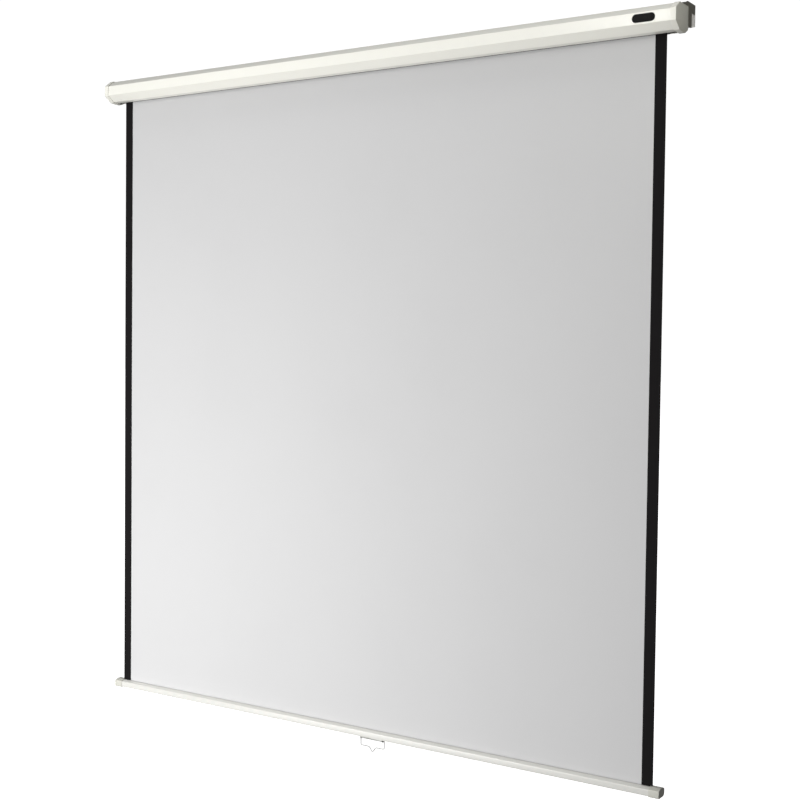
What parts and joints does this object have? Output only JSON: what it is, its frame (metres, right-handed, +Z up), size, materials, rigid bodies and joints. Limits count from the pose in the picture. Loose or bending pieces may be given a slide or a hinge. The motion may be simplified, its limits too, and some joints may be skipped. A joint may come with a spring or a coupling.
{
  "type": "pull down projector screen",
  "caption": "Wall-hung pull down projector screen: slim case with spring roller, side-bordered white cloth, weighted bottom bar and wire pull handle.",
  "frame": {"origin": "on the wall plane, midway between the two wall brackets, at the mid-height of their wall flanges", "axes": "+X to the right along the case seen from the room, +Y into the wall, +Z up"},
  "size_m": [1.8846, 0.1228, 1.9716],
  "materials": {
    "case_white": "satin white powder coat on extruded aluminium",
    "bar_white": "satin white powder coat on extruded aluminium",
    "cap_plastic": "fine moulded texture, warm white",
    "zinc_steel": "zinc plated",
    "bracket_steel": "light grey coated sheet",
    "badge_black": "plain black, blank",
    "aluminium": "mill finish",
    "grey_nylon": "moulded nylon",
    "spring_steel": "oiled spring wire",
    "screen_white": "matt white coated cloth",
    "border_black": "matt black coat",
    "handle_wire": "light grey coated wire"
  },
  "bodies": {
    "case": {"case_shell": "case_white", "badge_plate": "badge_black", "end_plate_left": "zinc_steel", "end_screw_left_rear_lower": "zinc_steel", "end_screw_left_rear_upper": "zinc_steel", "end_screw_left_front": "zinc_steel", "end_cap_left": "cap_plastic", "wall_bracket_left": "bracket_steel", "bracket_screw_left_lower": "zinc_steel", "bracket_screw_left_upper": "zinc_steel", "border_left": "border_black", "end_plate_right": "zinc_steel", "end_screw_right_rear_lower": "zinc_steel", "end_screw_right_rear_upper": "zinc_steel", "end_screw_right_front": "zinc_steel", "end_cap_right": "cap_plastic", "wall_bracket_right": "bracket_steel", "bracket_screw_right_lower": "zinc_steel", "bracket_screw_right_upper": "zinc_steel", "border_right": "border_black", "spring_shaft": "zinc_steel", "ratchet_wheel": "zinc_steel", "torsion_spring": "spring_steel", "shaft_stop": "grey_nylon", "idle_bush": "grey_nylon", "black_backing": "border_black", "screen_cloth": "screen_white"},
    "roller": {"roller_tube": "aluminium", "spring_end_plug": "grey_nylon", "idle_plug": "grey_nylon", "shaft_support_bush": "grey_nylon", "screen_wrap": "border_black", "pawl_a_pin": "zinc_steel", "pawl_b_pin": "zinc_steel"},
    "pawl_a": {"pawl_a": "zinc_steel"},
    "pawl_b": {"pawl_b": "zinc_steel"},
    "bar": {"bottom_bar": "bar_white", "bar_cap_left": "cap_plastic", "bar_cap_right": "cap_plastic", "hem_sleeve": "border_black", "hem_rod": "grey_nylon", "handle_clip": "zinc_steel", "handle_screw_left": "zinc_steel", "handle_screw_right": "zinc_steel"},
    "handle": {"pull_handle": "handle_wire"}
  },
  "joints": [
    {"name": "screen_pull", "type": "slide", "parent": "case", "child": "bar", "axis": [0, 0, 1], "range_m": [0, 1.826], "deforming": ["screen_cloth", "black_backing", "border_left", "border_right"]},
    {"name": "roller_spin", "type": "hinge", "parent": "case", "child": "roller", "pos_m": [0, -0.0919, -0.01798], "axis": [1, 0, 0], "range_deg": [-5, 4505]},
    {"name": "pawl_a_swing", "type": "hinge", "parent": "roller", "child": "pawl_a", "pos_m": [-0.91685, -0.0919, -0.00297], "axis": [1, 0, 0], "range_deg": [0, 23.3]},
    {"name": "pawl_b_swing", "type": "hinge", "parent": "roller", "child": "pawl_b", "pos_m": [-0.91685, -0.0919, -0.03299], "axis": [1, 0, 0], "range_deg": [0, 23.3]},
    {"name": "handle_swing", "type": "hinge", "parent": "bar", "child": "handle", "pos_m": [0.0655, -0.071, -1.90807], "axis": [1, 0, 0], "range_deg": [-90, 90]}
  ],
  "couplings": [
    {"joint": "roller_spin", "follows": "screen_pull", "rad_per_m": 43.012}
  ]
}
